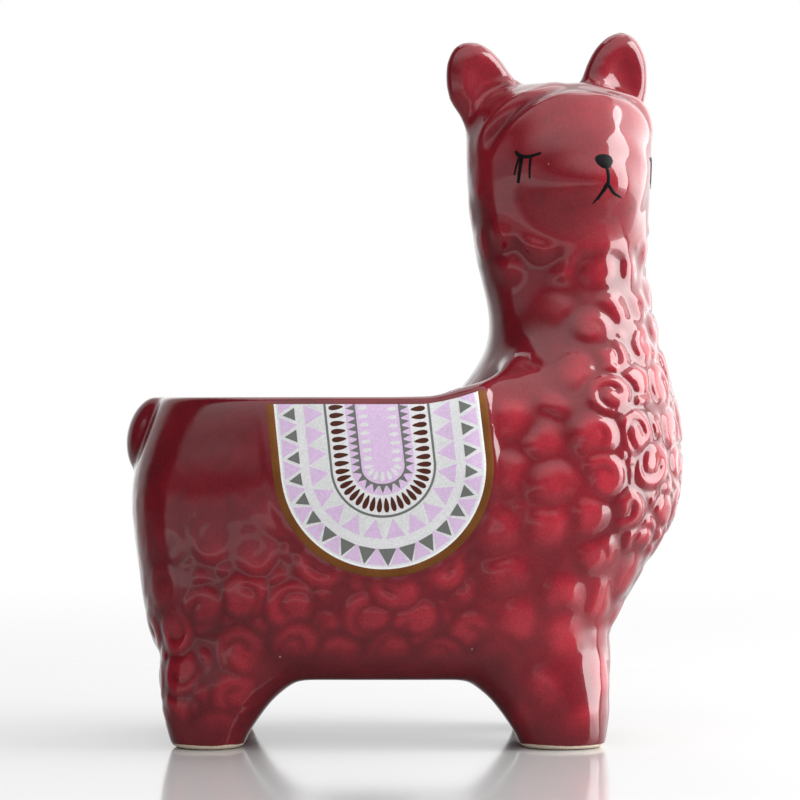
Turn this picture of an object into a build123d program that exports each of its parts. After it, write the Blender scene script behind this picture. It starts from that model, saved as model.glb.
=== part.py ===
from build123d import *
import os
from functools import cache
from math import copysign, cos, pi, sin

# Llama-shaped plant pot. A slip-cast trunk on four legs holds an open planting well, and a hollow neck and
# head are luted on in front of the mouth. Ears and tail are luted on too, the blanket transfers and the face
# marks are fired on to the glaze, and a rubber plug closes the drain.
# Millimetres. The animal faces +X, its right side is -Y, and its feet stand on z = 0.

# Trunk
rump_reach = 59.6  # origin to the rearmost point of the trunk
chest_reach = 60.9  # origin to the foremost point of the chest
trunk_width = 72.0  # across the flanks
belly_height = 14.4  # underside above the table
rim_height = 75.0  # lip of the planting mouth above the table
wall = 4.0  # cast wall of the trunk, neck and head
floor_thickness = 5.0  # bottom of the planting well
lip_radius = 1.4  # sponged outer edge of the mouth
belly_squareness = 3.4  # exponent of the trunk's oval plan at the belly
rim_squareness = 2.4  # and at the rim
oval_points = 16  # spline points round a plan

# Height between belly and rim, reach to rump and chest, half width: shares of the sizes above
trunk_shares = (
    (0.000, 0.785, 0.620, 0.660),
    (0.045, 0.865, 0.695, 0.815),
    (0.140, 0.925, 0.742, 0.930),
    (0.345, 0.968, 0.846, 0.990),
    (0.570, 1.000, 0.972, 1.000),
    (0.765, 0.986, 1.000, 0.986),
    (0.910, 0.940, 0.985, 0.950),
    (1.025, 0.880, 0.950, 0.890),
    (1.110, 0.800, 0.890, 0.720),
    (1.150, 0.720, 0.820, 0.480),
    (1.165, 0.560, 0.660, 0.200),
)

# Mouth of the planting well, in side view
mouth_rise_start = -6.0  # where the level lip begins to climb
mouth_rise_end = 20.5  # where it meets the back of the neck
mouth_rise = 13.0  # how far it climbs
lintel_height = 71.5  # lower edge of the neck's back wall, over the way into the chest

# Neck and head, a column with a domed crown
head_height = 144.4  # crown above the table
neck_axis = 34.2  # column's axis, forward of the origin
head_depth = 41.0  # column at the head, front to back
head_width = 39.0  # column at the head, side to side
brow_height = 132.0  # where the crown starts to dome
seam_height = 88.0  # luted seam between trunk and neck
crown_squareness = 2.6  # exponent of the crown's profile
neck_squareness = 2.0  # the column's plan is a plain ellipse

# Height of the head's top, shift of the axis and half depth, half width: shares of the sizes above
neck_shares = (
    (0.208, -0.280, 0.800, 1.030),
    (0.318, -0.105, 1.160, 1.460),
    (0.415, -0.030, 1.330, 1.660),
    (0.484, 0.010, 1.270, 1.600),
    (0.540, 0.080, 1.110, 1.420),
    (0.595, 0.155, 0.935, 1.180),
    (0.650, 0.120, 0.890, 1.020),
    (0.713, 0.030, 0.900, 0.950),
    (0.782, 0.005, 0.952, 0.965),
    (0.858, 0.000, 0.997, 1.000),
)
crown_shares = (0.00, 0.35, 0.62, 0.80, 0.92, 0.985)  # steps from the brow up to the crown

# Face, turned to the animal's right
face_turn = -68.0  # degrees from the way the animal walks
face_height = 124.0
face_depth = 19.0  # half sizes of the rounded face
face_half_width = 17.5
face_half_height = 17.0
face_forward = 5.5  # its middle, forward of the neck's axis
muzzle_depth = 9.0  # half sizes of the muzzle
muzzle_half_width = 9.5
muzzle_half_height = 8.5
muzzle_forward = 17.0
muzzle_drop = 2.0  # muzzle's middle below the face's

# Ears
ear_half_width = 7.4
ear_half_height = 13.0
ear_half_thickness = 4.5
ear_spread = 15.8  # middle of an ear from the head's middle
ear_setback = 5.0  # behind the neck's axis
ear_rise = 3.5  # middle of an ear below the crown
ear_splay_right = 25.0  # degrees outwards
ear_splay_left = 13.0
ear_tip_difference = 3.0  # the left ear stands this much higher
ear_scoop_share = 0.72  # the hollow's size against the ear's
ear_scoop_forward = 4.1  # middle of the hollow in front of the ear's

# Tail
tail_reach = 61.2  # origin to the tail's rearmost point
tail_height = 66.0
tail_half_depth = 6.5
tail_half_width = 8.5
tail_half_height = 9.5
tail_lean = 10.0  # degrees

# Legs
foot_length = 16.1
front_foot_length = 18.9
foot_width = 17.0
foot_edge_radius = 1.2
rear_foot_heel = 49.8  # origin to the back of the rear feet
front_foot_toe = 43.1  # origin to the front of the front feet
foot_outside = 28.5  # middle plane to the outside of a foot
leg_flare_length = 11.8  # how far a leg widens along the belly
leg_flare_width = 9.0  # how far it widens towards the middle plane
rear_leg_splay = 3.2  # how far its outside steps out below the trunk
front_leg_splay = 1.6
# Height of the belly, inward flare and outward splay: shares of the sizes above
leg_shares = (
    (0.00, 0.00, 0.00),
    (0.28, 0.10, 0.35),
    (0.58, 0.36, 0.65),
    (0.82, 0.66, 0.85),
    (1.02, 1.00, 0.95),
    (1.60, 1.20, 0.80),
    (2.30, 1.00, 0.00),
    (3.00, 0.60, -1.50),
)

# Drain and its plug
drain_place = -8.0  # along the animal
drain_diameter = 10.0
drain_recess_diameter = 21.0  # shallow recess in the belly, with room for fingers round the plug
drain_recess_depth = 2.2
plug_clearance = 0.08  # between shank and drain, all round
plug_taper = 0.5  # shank narrower at its tip, in diameter
plug_overrun = 1.0  # tip above the floor of the well
plug_flange_diameter = 14.0
plug_flange_thickness = 1.6
plug_grip_diameter = 6.0
plug_grip_length = 2.2

# Blanket transfers
transfer_film = 0.3
blanket_width = 46.4  # outside the gold edge
gold_edge_width = 1.7
blanket_center = -4.4  # along the animal
blanket_bottom = 37.2  # lowest point above the table
blanket_top_gap = 1.6  # below the lip
blanket_climb = 1.4  # its top corner by the neck, above the level lip
blanket_tilt = 6.5  # degrees, top towards the tail

# Painted face marks
paint_film = 0.15
stroke_width = 0.6
eye_turn = 45.0  # degrees from the face's middle
eye_height = 127.0
lid_width = 5.6
lid_sag = 0.9
lash_length = 5.2
lash_spread_shares = (-0.34, -0.12, 0.22)  # where the lashes hang along the lid
lash_length_shares = (0.68, 1.00, 0.88)
nose_height = 125.5
nose_width = 4.0
nose_depth = 3.3
mouth_length = 3.8  # line under the nose
mouth_spread = 3.4
mouth_drop = 3.2

overrun = 2.0  # every cut passes the face it starts from by this much


def oval(center, half_length, half_width, height, squareness):
    """A level superellipse about a point on the middle plane."""
    points = []
    for step in range(oval_points):
        angle = 2 * pi * step / oval_points
        along = copysign(abs(cos(angle)) ** (2 / squareness), cos(angle))
        across = copysign(abs(sin(angle)) ** (2 / squareness), sin(angle))
        points.append((center + half_length * along, half_width * across, height))
    return make_face(Spline(points, periodic=True))


def ellipsoid(half_x, half_y, half_z):
    return scale(Sphere(1), by=(half_x, half_y, half_z))


@cache
def trunk_form(grow, base):
    """The trunk's barrel above a base height, its plan larger by grow all round."""
    sections = []
    for height_share, rump_share, chest_share, width_share in trunk_shares:
        rear = -rump_reach * rump_share - grow
        front = chest_reach * chest_share + grow
        sections.append(
            oval(
                (rear + front) / 2,
                (front - rear) / 2,
                trunk_width / 2 * width_share + grow,
                base + (rim_height - base) * height_share,
                belly_squareness + (rim_squareness - belly_squareness) * min(height_share, 1),
            )
        )
    return loft(sections)


@cache
def column_form(grow):
    """Chest, neck and crown as one column, larger by grow all round."""
    half_depth = head_depth / 2
    half_width = head_width / 2
    sections = []
    for height_share, shift_share, depth_share, width_share in neck_shares:
        sections.append(
            oval(
                neck_axis + half_depth * shift_share,
                half_depth * depth_share + grow,
                half_width * width_share + grow,
                head_height * height_share,
                neck_squareness,
            )
        )
    for step_share in crown_shares:
        radius_share = (1 - step_share**crown_squareness) ** (1 / crown_squareness)
        sections.append(
            oval(
                neck_axis,
                (half_depth + grow) * radius_share,
                (half_width + grow) * radius_share,
                brow_height + (head_height + grow - brow_height) * step_share,
                neck_squareness,
            )
        )
    return loft(sections)


def face_frame(turn, height):
    """Local x points out of the face, local y to the animal's left, local z up."""
    return Location((neck_axis, 0, height), (0, 0, turn))


@cache
def head_form(grow):
    """The column with the rounded face and the muzzle, larger by grow all round."""
    face = ellipsoid(face_depth + grow, face_half_width + grow, face_half_height + grow)
    muzzle = ellipsoid(muzzle_depth + grow, muzzle_half_width + grow, muzzle_half_height + grow)
    frame = face_frame(face_turn, face_height)
    return (
        column_form(grow)
        + frame * Pos(face_forward, 0, 0) * face
        + frame * Pos(muzzle_forward, 0, -muzzle_drop) * muzzle
    )


def leg(foot_outer, foot_inner, splay, side):
    """One leg on side +1 or -1, flush with the trunk outside and flaring into the belly inside."""
    inward = copysign(1, foot_inner - foot_outer)
    sections = []
    for height_share, flare_share, splay_share in leg_shares:
        outer_x = foot_outer - inward * splay * splay_share
        inner_x = foot_inner + inward * leg_flare_length * flare_share
        outer_y = foot_outside + splay * splay_share
        inner_y = foot_outside - foot_width - leg_flare_width * flare_share
        section = oval(
            (outer_x + inner_x) / 2,
            abs(inner_x - outer_x) / 2,
            (outer_y - inner_y) / 2,
            belly_height * height_share,
            neck_squareness,
        )
        sections.append(Pos(0, side * (outer_y + inner_y) / 2, 0) * section)
    solid = loft(sections)
    return fillet(solid.faces().sort_by(Axis.Z)[0].edges(), foot_edge_radius)


@cache
def above_lip(drop):
    """Everything over the mouth's side profile, the profile lowered by drop."""
    level = rim_height - drop
    start = (-2 * rump_reach, level)
    bend = (mouth_rise_start, level)
    end = (mouth_rise_end, level + mouth_rise)
    top = 2 * head_height
    climb = Spline(bend, end, tangents=((1, 0), (0, 1)))
    outline = Line(start, bend) + climb + Polyline(end, (mouth_rise_end, top), (-2 * rump_reach, top), start)
    return extrude(Plane.XZ * make_face(outline), trunk_width, both=True)


def half_space_above(height):
    return Pos(0, 0, height + head_height) * Box(4 * chest_reach, 2 * trunk_width, 2 * head_height)


def rounded_lip(trunk):
    """The solid trunk with the outer edge of its lip sponged round."""
    level_edges = trunk.edges().filter_by_position(Axis.Z, rim_height - lip_radius, rim_height + lip_radius)
    return fillet(level_edges.sort_by(SortBy.LENGTH)[-1], lip_radius)


def pot_pieces():
    """The trunk with its legs and well, and the hollow neck and head, parted at the luted seam."""
    column = column_form(0)
    well = trunk_form(-wall, belly_height + floor_thickness)
    trunk = rounded_lip(trunk_form(0, belly_height) - above_lip(0))
    rear_leg = (-rear_foot_heel, foot_length - rear_foot_heel, rear_leg_splay)
    front_leg = (front_foot_toe, front_foot_toe - front_foot_length, front_leg_splay)
    legs = [leg(*place, side) for side in (1, -1) for place in (rear_leg, front_leg)]
    body = trunk + [column] + legs
    well = well - (column & half_space_above(lintel_height))
    hollow = column_form(-wall)
    drain = Cylinder(drain_diameter / 2, 2 * floor_thickness + overrun)
    recess = Cylinder(drain_recess_diameter / 2, 2 * drain_recess_depth)
    upper = half_space_above(seam_height)
    pot = body - [upper, well, hollow, Pos(drain_place, 0, belly_height) * (drain + recess)]
    head = (head_form(0) & upper) - hollow
    return pot, head


def ear(side, splay, rise):
    """One scooped ear, cut where it is luted to the head."""
    shape = ellipsoid(ear_half_thickness, ear_half_width, ear_half_height)
    scoop = ellipsoid(
        ear_half_thickness * ear_scoop_share,
        ear_half_width * ear_scoop_share,
        ear_half_height * ear_scoop_share,
    )
    shape = shape - Pos(ear_scoop_forward, 0, 0) * scoop
    frame = face_frame(face_turn, head_height - ear_rise + rise)
    place = frame * Pos(-ear_setback, side * ear_spread, 0) * Rot(-side * splay, 0, 0)
    return place * shape - head_form(0)


def tail():
    """The short tail, cut where it is luted to the rump."""
    shape = ellipsoid(tail_half_depth, tail_half_width, tail_half_height)
    place = Pos(tail_half_depth - tail_reach, 0, tail_height) * Rot(0, tail_lean, 0)
    return place * shape - trunk_form(0, belly_height) - above_lip(0)


def blanket_outline(inset):
    """The blanket's U in side view, smaller by inset, open upwards past the lip."""
    radius = blanket_width / 2 - inset
    middle = blanket_bottom + blanket_width / 2
    panel = Pos(0, rim_height / 2) * Rectangle(2 * radius, rim_height)
    shape = Circle(radius) + panel
    return Plane.XZ * Pos(blanket_center, middle) * Rot(0, 0, blanket_tilt) * shape


def blanket_pieces():
    """The printed transfer and its gold edge on the right flank, as films on the trunk."""
    skin = trunk_form(transfer_film, belly_height)
    core = trunk_form(0, belly_height)
    over = above_lip(blanket_top_gap) + half_space_above(rim_height + blanket_climb)
    ground = extrude(blanket_outline(gold_edge_width), trunk_width)
    patch = extrude(blanket_outline(0), trunk_width)
    print_film = (skin & ground) - core - over
    edge_film = (skin & patch) - core - over - ground
    return print_film, edge_film


def stroke(start, end):
    """A round-ended brush line between two points of the paint's local plane."""
    line = Vector(*end) - Vector(*start)
    middle = (Vector(*start) + Vector(*end)) / 2
    turn = Vector(1, 0).get_signed_angle(line, Vector(0, 0, 1))
    return Pos(middle.X, middle.Y) * Rot(0, 0, turn) * SlotCenterToCenter(line.length, stroke_width)


def painted(sketch, turn, height):
    """A sketch seen from in front of the face, laid on the head as a film of enamel."""
    looking_in = face_frame(turn, height) * Location(Plane.YZ)
    prism = extrude(looking_in * sketch, head_depth)
    return (head_form(paint_film) & prism) - head_form(0)


def lashes(side):
    """A closed lid with its lashes."""
    lid = stroke((-lid_width / 2, 0), (0, -lid_sag)) + stroke((0, -lid_sag), (lid_width / 2, 0))
    for spread_share, length_share in zip(lash_spread_shares, lash_length_shares):
        x = -side * lid_width * spread_share
        lid = lid + stroke((x, -lid_sag / 2), (x, -lid_sag - lash_length * length_share))
    return painted(lid, face_turn + side * eye_turn, eye_height)


@cache
def nose():
    return painted(Ellipse(nose_width / 2, nose_depth / 2), face_turn, nose_height)


def mouth():
    """The line under the nose and the two corners of the mouth."""
    top = (0, -nose_depth / 2 - stroke_width / 2)
    fork = (0, -nose_depth / 2 - mouth_length)
    lines = stroke(top, fork)
    for side in (1, -1):
        lines = lines + stroke(fork, (side * mouth_spread, fork[1] - mouth_drop))
    return painted(lines, face_turn, nose_height) - nose()


def drain_plug():
    """A tapered shank, a flange seated in the recess and a grip to pull it by."""
    root = drain_diameter / 2 - plug_clearance
    tip = root - plug_taper / 2
    length = floor_thickness - drain_recess_depth + plug_overrun
    profile = Polyline(
        (0, length),
        (tip, length),
        (root, 0),
        (plug_flange_diameter / 2, 0),
        (plug_flange_diameter / 2, -plug_flange_thickness),
        (plug_grip_diameter / 2, -plug_flange_thickness),
        (plug_grip_diameter / 2, -plug_flange_thickness - plug_grip_length),
        (0, -plug_flange_thickness - plug_grip_length),
        close=True,
    )
    turned = revolve(Plane.XZ * make_face(profile), Axis.Z)
    return Pos(drain_place, 0, belly_height + drain_recess_depth) * turned


def main():
    os.makedirs("parts", exist_ok=True)
    pot_body, neck_and_head = pot_pieces()
    blanket_right, blanket_edge_right = blanket_pieces()
    pieces = {
        "pot_body": pot_body,
        "neck_and_head": neck_and_head,
        "ear_right": ear(-1, ear_splay_right, 0),
        "ear_left": ear(1, ear_splay_left, ear_tip_difference),
        "tail": tail(),
        "blanket_right": blanket_right,
        "blanket_left": mirror(blanket_right, Plane.XZ),
        "blanket_edge_right": blanket_edge_right,
        "blanket_edge_left": mirror(blanket_edge_right, Plane.XZ),
        "lashes_right": lashes(-1),
        "lashes_left": lashes(1),
        "nose": nose(),
        "mouth": mouth(),
        "drain_plug": drain_plug(),
    }
    for name, piece in pieces.items():
        export_step(piece, f"parts/{name}.step")
        print(name, len(piece.solids()), round(piece.volume), piece.bounding_box())


main()
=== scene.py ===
"""Dresses the llama planter: glazed wool, printed saddle blankets, painted face, drain plug and stage."""
import math

import bmesh
import bpy
import numpy as np
from bpy.props import FloatProperty, FloatVectorProperty, IntProperty, PointerProperty
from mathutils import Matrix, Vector
from mathutils.bvhtree import BVHTree


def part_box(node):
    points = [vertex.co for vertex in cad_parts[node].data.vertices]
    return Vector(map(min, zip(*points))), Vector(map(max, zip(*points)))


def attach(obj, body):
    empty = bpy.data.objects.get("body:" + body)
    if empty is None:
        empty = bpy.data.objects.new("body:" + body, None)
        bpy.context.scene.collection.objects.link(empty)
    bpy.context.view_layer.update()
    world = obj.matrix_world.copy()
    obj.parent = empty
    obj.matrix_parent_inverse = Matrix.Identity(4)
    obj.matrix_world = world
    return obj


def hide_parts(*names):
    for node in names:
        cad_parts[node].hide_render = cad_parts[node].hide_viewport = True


bl_info = {
    "name": "Llama planter",
    "version": (1, 0, 0),
    "blender": (4, 5, 0),
    "location": "View3D > Sidebar > Planter",
    "description": "Builds the looks of a glazed llama-shaped planter around its fixed frame",
    "category": "Object",
}

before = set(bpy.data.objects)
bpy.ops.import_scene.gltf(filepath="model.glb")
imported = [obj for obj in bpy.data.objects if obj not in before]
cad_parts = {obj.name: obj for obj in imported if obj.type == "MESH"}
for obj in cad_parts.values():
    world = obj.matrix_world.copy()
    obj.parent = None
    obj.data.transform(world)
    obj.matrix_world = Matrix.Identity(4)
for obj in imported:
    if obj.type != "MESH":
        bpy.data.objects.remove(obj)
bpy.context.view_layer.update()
MM = 0.001


def tone(red, green, blue):
    """A screen colour, each part from 0 to 255, as linear light."""
    shares = [part / 255 for part in (red, green, blue)]
    return tuple(s / 12.92 if s <= 0.04045 else ((s + 0.055) / 1.055) ** 2.4 for s in shares)


def length(name, description, millimetres):
    return FloatProperty(
        name=name, description=description, default=millimetres * MM, unit="LENGTH", precision=5)


def share(name, description, value):
    return FloatProperty(
        name=name, description=description, default=value, min=0.0, max=1.0, subtype="FACTOR")


def rounds(name, description, count):
    return IntProperty(name=name, description=description, default=count, min=0)


def power(name, description, watts):
    return FloatProperty(name=name, description=description, default=watts, unit="POWER")


def colour(name, description, value):
    return FloatVectorProperty(name=name, description=description, default=value, size=3, subtype="COLOR")


class WoolSettings(bpy.types.PropertyGroup):
    """The cast body and the curls moulded on it."""

    mesh_size: length("Mesh size", "Grid of the cast surface", 0.58)
    curl_size: length("Curl size", "Outer size of a curl on the flank", 10.4)
    tuft_size: length("Tuft size", "Outer size of a tuft on the chest", 11.0)
    curl_spacing: share("Curl spacing", "Least distance between curls, as a share of their size", 0.79)
    valley: length("Valley", "How far in from its outline a curl is rounded off", 1.6)
    tuft_valley: length("Tuft valley", "The same on the tufts of the chest", 3.8)
    groove: length("Groove", "Half the width of the groove that winds into a curl", 0.6)
    flank_relief: length("Flank relief", "How far curls stand out on the flank", 0.36)
    tuft_relief: length("Tuft relief", "How far tufts stand out on the chest", 0.85)
    chest_relief: length("Chest relief", "How far curls stand out on the front of the chest", 0.75)
    muzzle: length("Muzzle", "How far the muzzle stands out of the face", 1.2)
    panel_relief: length("Panel relief", "How far the smooth panel under a blanket stands out", 0.35)
    panel_step: length("Panel step", "How much further it stands out on its side towards the neck", 0.85)
    crease_rounds: rounds("Crease rounds", "Softening of the joins", 90)
    face_rounds: rounds("Face rounds", "Softening of the face", 90)
    ear_swell: length("Ear swell", "Clay added to the ears, which softening thins", 0.8)
    ear_rounds: rounds("Ear rounds", "Softening of the ears", 40)
    ear_fill: share("Ear fill", "How far the hollow of an ear is filled with clay and glaze", 0.75)
    kept_faces: share("Kept faces", "Share of the faces kept when smooth parts are thinned", 0.70)
    seed: IntProperty(name="Seed", description="Seed of the curls", default=11)


class GlazeSettings(bpy.types.PropertyGroup):
    """Colours of the fired surfaces."""

    pooled: colour("Pooled glaze", "Glaze lying deep between the curls", tone(95, 15, 26))
    body: colour("Glaze", "Glaze of middling depth", tone(129, 24, 37))
    thin: colour("Thin glaze", "Glaze drawn thin over the curls", tone(160, 40, 53))
    clay: colour("Clay", "Bare fired clay under the feet", tone(232, 214, 192))
    gold: colour("Gold lustre", "Fired gold of the blanket edge", tone(130, 80, 30))
    enamel: colour("Enamel", "Black of the painted face", tone(14, 14, 15))
    rubber: colour("Rubber", "Drain plug", tone(172, 168, 160))


class BlanketSettings(bpy.types.PropertyGroup):
    """The printed saddle blanket, laid out in side view."""

    width: length("Width", "Outside the gold edge", 46.4)
    center: length("Centre", "Middle along the animal", -4.4)
    bottom: length("Bottom", "Lowest point above the table", 37.2)
    top: length("Top", "Level top edge above the table", 73.4)
    climb: length("Climb", "Rise of the top edge towards the neck", 2.9)
    climb_start: length("Climb start", "Where the top edge begins to rise", 3.0)
    climb_length: length("Climb length", "Distance over which it rises", 13.0)
    tilt: FloatProperty(
        name="Tilt", description="Lean towards the tail", default=math.radians(6.5), subtype="ANGLE")
    gold_width: length("Gold width", "Width of the gold edge", 1.75)
    lift: length("Lift", "How far the inner lines rise off a true arc at the round end", 1.3)
    ground: colour("Ground", "White of the transfer", tone(219, 219, 221))
    lilac: colour("Lilac", "Lilac ink", tone(212, 185, 218))
    grey: colour("Grey", "Dark grey ink", tone(106, 109, 105))
    pale: colour("Pale grey", "Pale grey ink", tone(214, 215, 215))
    brown: colour("Brown", "Brown ink", tone(72, 26, 5))
    white: colour("White", "White line along the gold", (0.84, 0.85, 0.86))


class StageSettings(bpy.types.PropertyGroup):
    """Camera, lamps and floor."""

    distance: length("Camera distance", "Camera to the animal's middle plane", 700.0)
    camera_x: length("Camera place", "Camera along the animal", -0.88)
    camera_height: length("Camera height", "Level camera above the table", 74.3)
    view_width: length("View width", "Width of the picture at the animal's middle plane", 176.6)
    key: power("Key", "Power of the right softbox", 4.5)
    side: power("Side", "Power of the soft light on the right", 1.2)
    rim: power("Rim", "Power of the softbox behind on the right", 1.4)
    front: power("Front", "Power of the soft light in front", 2.1)
    back: power("Back", "Power of the soft light behind", 1.6)
    top: power("Top", "Power of the top light", 1.6)
    floor: colour("Floor", "Pale table", (0.52, 0.52, 0.52))
    floor_shade: colour("Floor shade", "The table as the glaze mirrors it", (0.22, 0.22, 0.22))
    horizon: colour("Horizon", "Light from the room in front, at eye level", (0.54, 0.54, 0.56))
    room: colour("Room", "The same light above eye level", (0.16, 0.16, 0.16))
    room_right: colour("Room, right", "The same light on the right", (0.24, 0.24, 0.24))
    room_top: colour("Room, high up", "The same light towards the ceiling", (1.35, 1.35, 1.35))


class PlanterSettings(bpy.types.PropertyGroup):
    """All settings of the planter."""

    wool: PointerProperty(type=WoolSettings)
    glaze: PointerProperty(type=GlazeSettings)
    blanket: PointerProperty(type=BlanketSettings)
    stage: PointerProperty(type=StageSettings)


def settings():
    return bpy.context.scene.planter


# Small tools for numbers and meshes

def smoothstep(low, high, value):
    t = np.clip((value - low) / (high - low), 0.0, 1.0)
    return t * t * (3.0 - 2.0 * t)


def zone(value, low, high):
    """0 at low and 1 at high, both in millimetres, smooth between."""
    return smoothstep(low * MM, high * MM, value)


def read_vectors(collection, key):
    values = np.empty(len(collection) * 3, np.float32)
    collection.foreach_get(key, values)
    return values.reshape(-1, 3).astype(float)


def read_edges(mesh):
    pairs = np.empty(len(mesh.edges) * 2, np.int32)
    mesh.edges.foreach_get("vertices", pairs)
    return pairs.reshape(-1, 2)


def placed(mesh, points):
    """Moves a mesh's points and gives the normals that they have there."""
    mesh.vertices.foreach_set("co", points.astype(np.float32).ravel())
    mesh.update()
    return read_vectors(mesh.vertex_normals, "vector")


def neighbour_mean(values, edges):
    """The mean of each vertex's neighbours, for one or more columns."""
    first, second = edges[:, 0], edges[:, 1]
    count = len(values)
    degree = np.maximum(np.bincount(edges.ravel(), minlength=count), 1)
    columns = values.reshape(count, -1).T
    sums = [np.bincount(first, c[second], count) + np.bincount(second, c[first], count) for c in columns]
    return (np.array(sums) / degree).T.reshape(values.shape)


def relaxed(values, edges, rounds, weight=0.5):
    """Values drawn towards their neighbours' mean, by a weight that may differ between vertices."""
    if np.ndim(weight) == 0:
        for _ in range(rounds):
            values = values + weight * (neighbour_mean(values, edges) - values)
        return values
    near = edges[(weight[edges] > 0.001).any(1)]
    touched, local = np.unique(near, return_inverse=True)
    local = local.reshape(-1, 2)
    part, pull = values[touched], weight[touched]
    if np.ndim(values) > 1:
        pull = pull[:, None]
    for _ in range(rounds):
        part = part + pull * (neighbour_mean(part, local) - part)
    values = values.copy()
    values[touched] = part
    return values


def store(mesh, name, values):
    attribute = mesh.attributes.new(name, "FLOAT", "POINT")
    attribute.data.foreach_set("value", values.astype(np.float32))


def linked(name, data):
    """A new object in the scene."""
    piece = bpy.data.objects.new(name, data)
    bpy.context.scene.collection.objects.link(piece)
    return piece


def mesh_object(name, points, faces, materials, ink=None):
    """A smooth-shaded mesh object; ink gives each face its material's place."""
    mesh = bpy.data.meshes.new(name)
    mesh.from_pydata([tuple(p) for p in points], [], [tuple(f) for f in faces])
    for material in materials:
        mesh.materials.append(material)
    if ink is not None:
        mesh.polygons.foreach_set("material_index", ink)
    mesh.shade_smooth()
    return linked(name, mesh)


def evaluated_mesh(piece, name):
    """The piece as its modifiers leave it, as a plain mesh."""
    depsgraph = bpy.context.evaluated_depsgraph_get()
    mesh = bpy.data.meshes.new_from_object(piece.evaluated_get(depsgraph), depsgraph=depsgraph)
    mesh.name = name
    return mesh


def joined(parts):
    """Several parts' points and faces as one list of each."""
    points, faces = [], []
    for part_points, part_faces in parts:
        start = len(points)
        points.extend(part_points)
        faces.extend([start + i for i in face] for face in part_faces)
    return points, faces


def surface_tree(*pieces):
    """What rays meet: the surface of some pieces."""
    meshes = [piece.data for piece in pieces]
    parts = [([v.co.copy() for v in m.vertices], [p.vertices for p in m.polygons]) for m in meshes]
    return BVHTree.FromPolygons(*joined(parts))


def grid_faces(rows, columns):
    starts = [i * columns + j for i in range(rows - 1) for j in range(columns - 1)]
    return [[a, a + 1, a + columns + 1, a + columns] for a in starts]


def thickened(piece, thickness):
    """A film that reaches a little below the surface it lies on, shaded flat up to its rim."""
    solid = piece.modifiers.new("film", "SOLIDIFY")
    solid.thickness = thickness
    solid.offset = -1.0
    sheet = piece.data
    piece.data = evaluated_mesh(piece, piece.name)
    piece.modifiers.clear()
    bpy.data.meshes.remove(sheet)
    piece.data.set_sharp_from_angle(angle=math.radians(40))
    return piece


WELD = 0.001 * MM


def merge_points(mesh, turn_out=False):
    """Closes seams where a mesh's points lie on each other, and may turn its faces outwards."""
    shell = bmesh.new()
    shell.from_mesh(mesh)
    bmesh.ops.remove_doubles(shell, verts=shell.verts, dist=WELD)
    if turn_out:
        bmesh.ops.recalc_face_normals(shell, faces=shell.faces)
    shell.to_mesh(mesh)
    shell.free()


# Materials

class Nodes:
    """A node tree being filled: adds a node, sets its inputs and links other sockets to them."""

    def __init__(self, tree):
        self.tree = tree

    def add(self, kind, inputs=None, **properties):
        node = self.tree.nodes.new(kind)
        for key, value in properties.items():
            setattr(node, key, value)
        for key, value in (inputs or {}).items():
            if isinstance(value, bpy.types.NodeSocket):
                self.tree.links.new(value, node.inputs[key])
            else:
                node.inputs[key].default_value = value
        return node

    def math(self, operation, first, second=0.0, third=0.0):
        return self.add("ShaderNodeMath", {0: first, 1: second, 2: third}, operation=operation).outputs[0]

    def fade(self, value, low, high):
        """0 at low, 1 at high, smooth between."""
        inputs = {"Value": value, "From Min": low, "From Max": high}
        return self.add("ShaderNodeMapRange", inputs, interpolation_type="SMOOTHSTEP").outputs["Result"]

    def mix(self, factor, first, second, blend="MIX"):
        inputs = {"Factor": factor, 6: first, 7: second}
        return self.add("ShaderNodeMix", inputs, data_type="RGBA", blend_type=blend).outputs[2]

    def vector(self, operation, inputs):
        return self.add("ShaderNodeVectorMath", inputs, operation=operation).outputs[0]

    def bump(self, height, millimetres, strength):
        inputs = {"Height": height, "Distance": millimetres * MM, "Strength": strength}
        return self.add("ShaderNodeBump", inputs).outputs["Normal"]


def rgba(value):
    return (*value, 1.0)


def neutral(value):
    return (value, value, value, 1.0)


def scaled(value, factor):
    return rgba([min(1.0, part * factor) for part in value])


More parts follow.
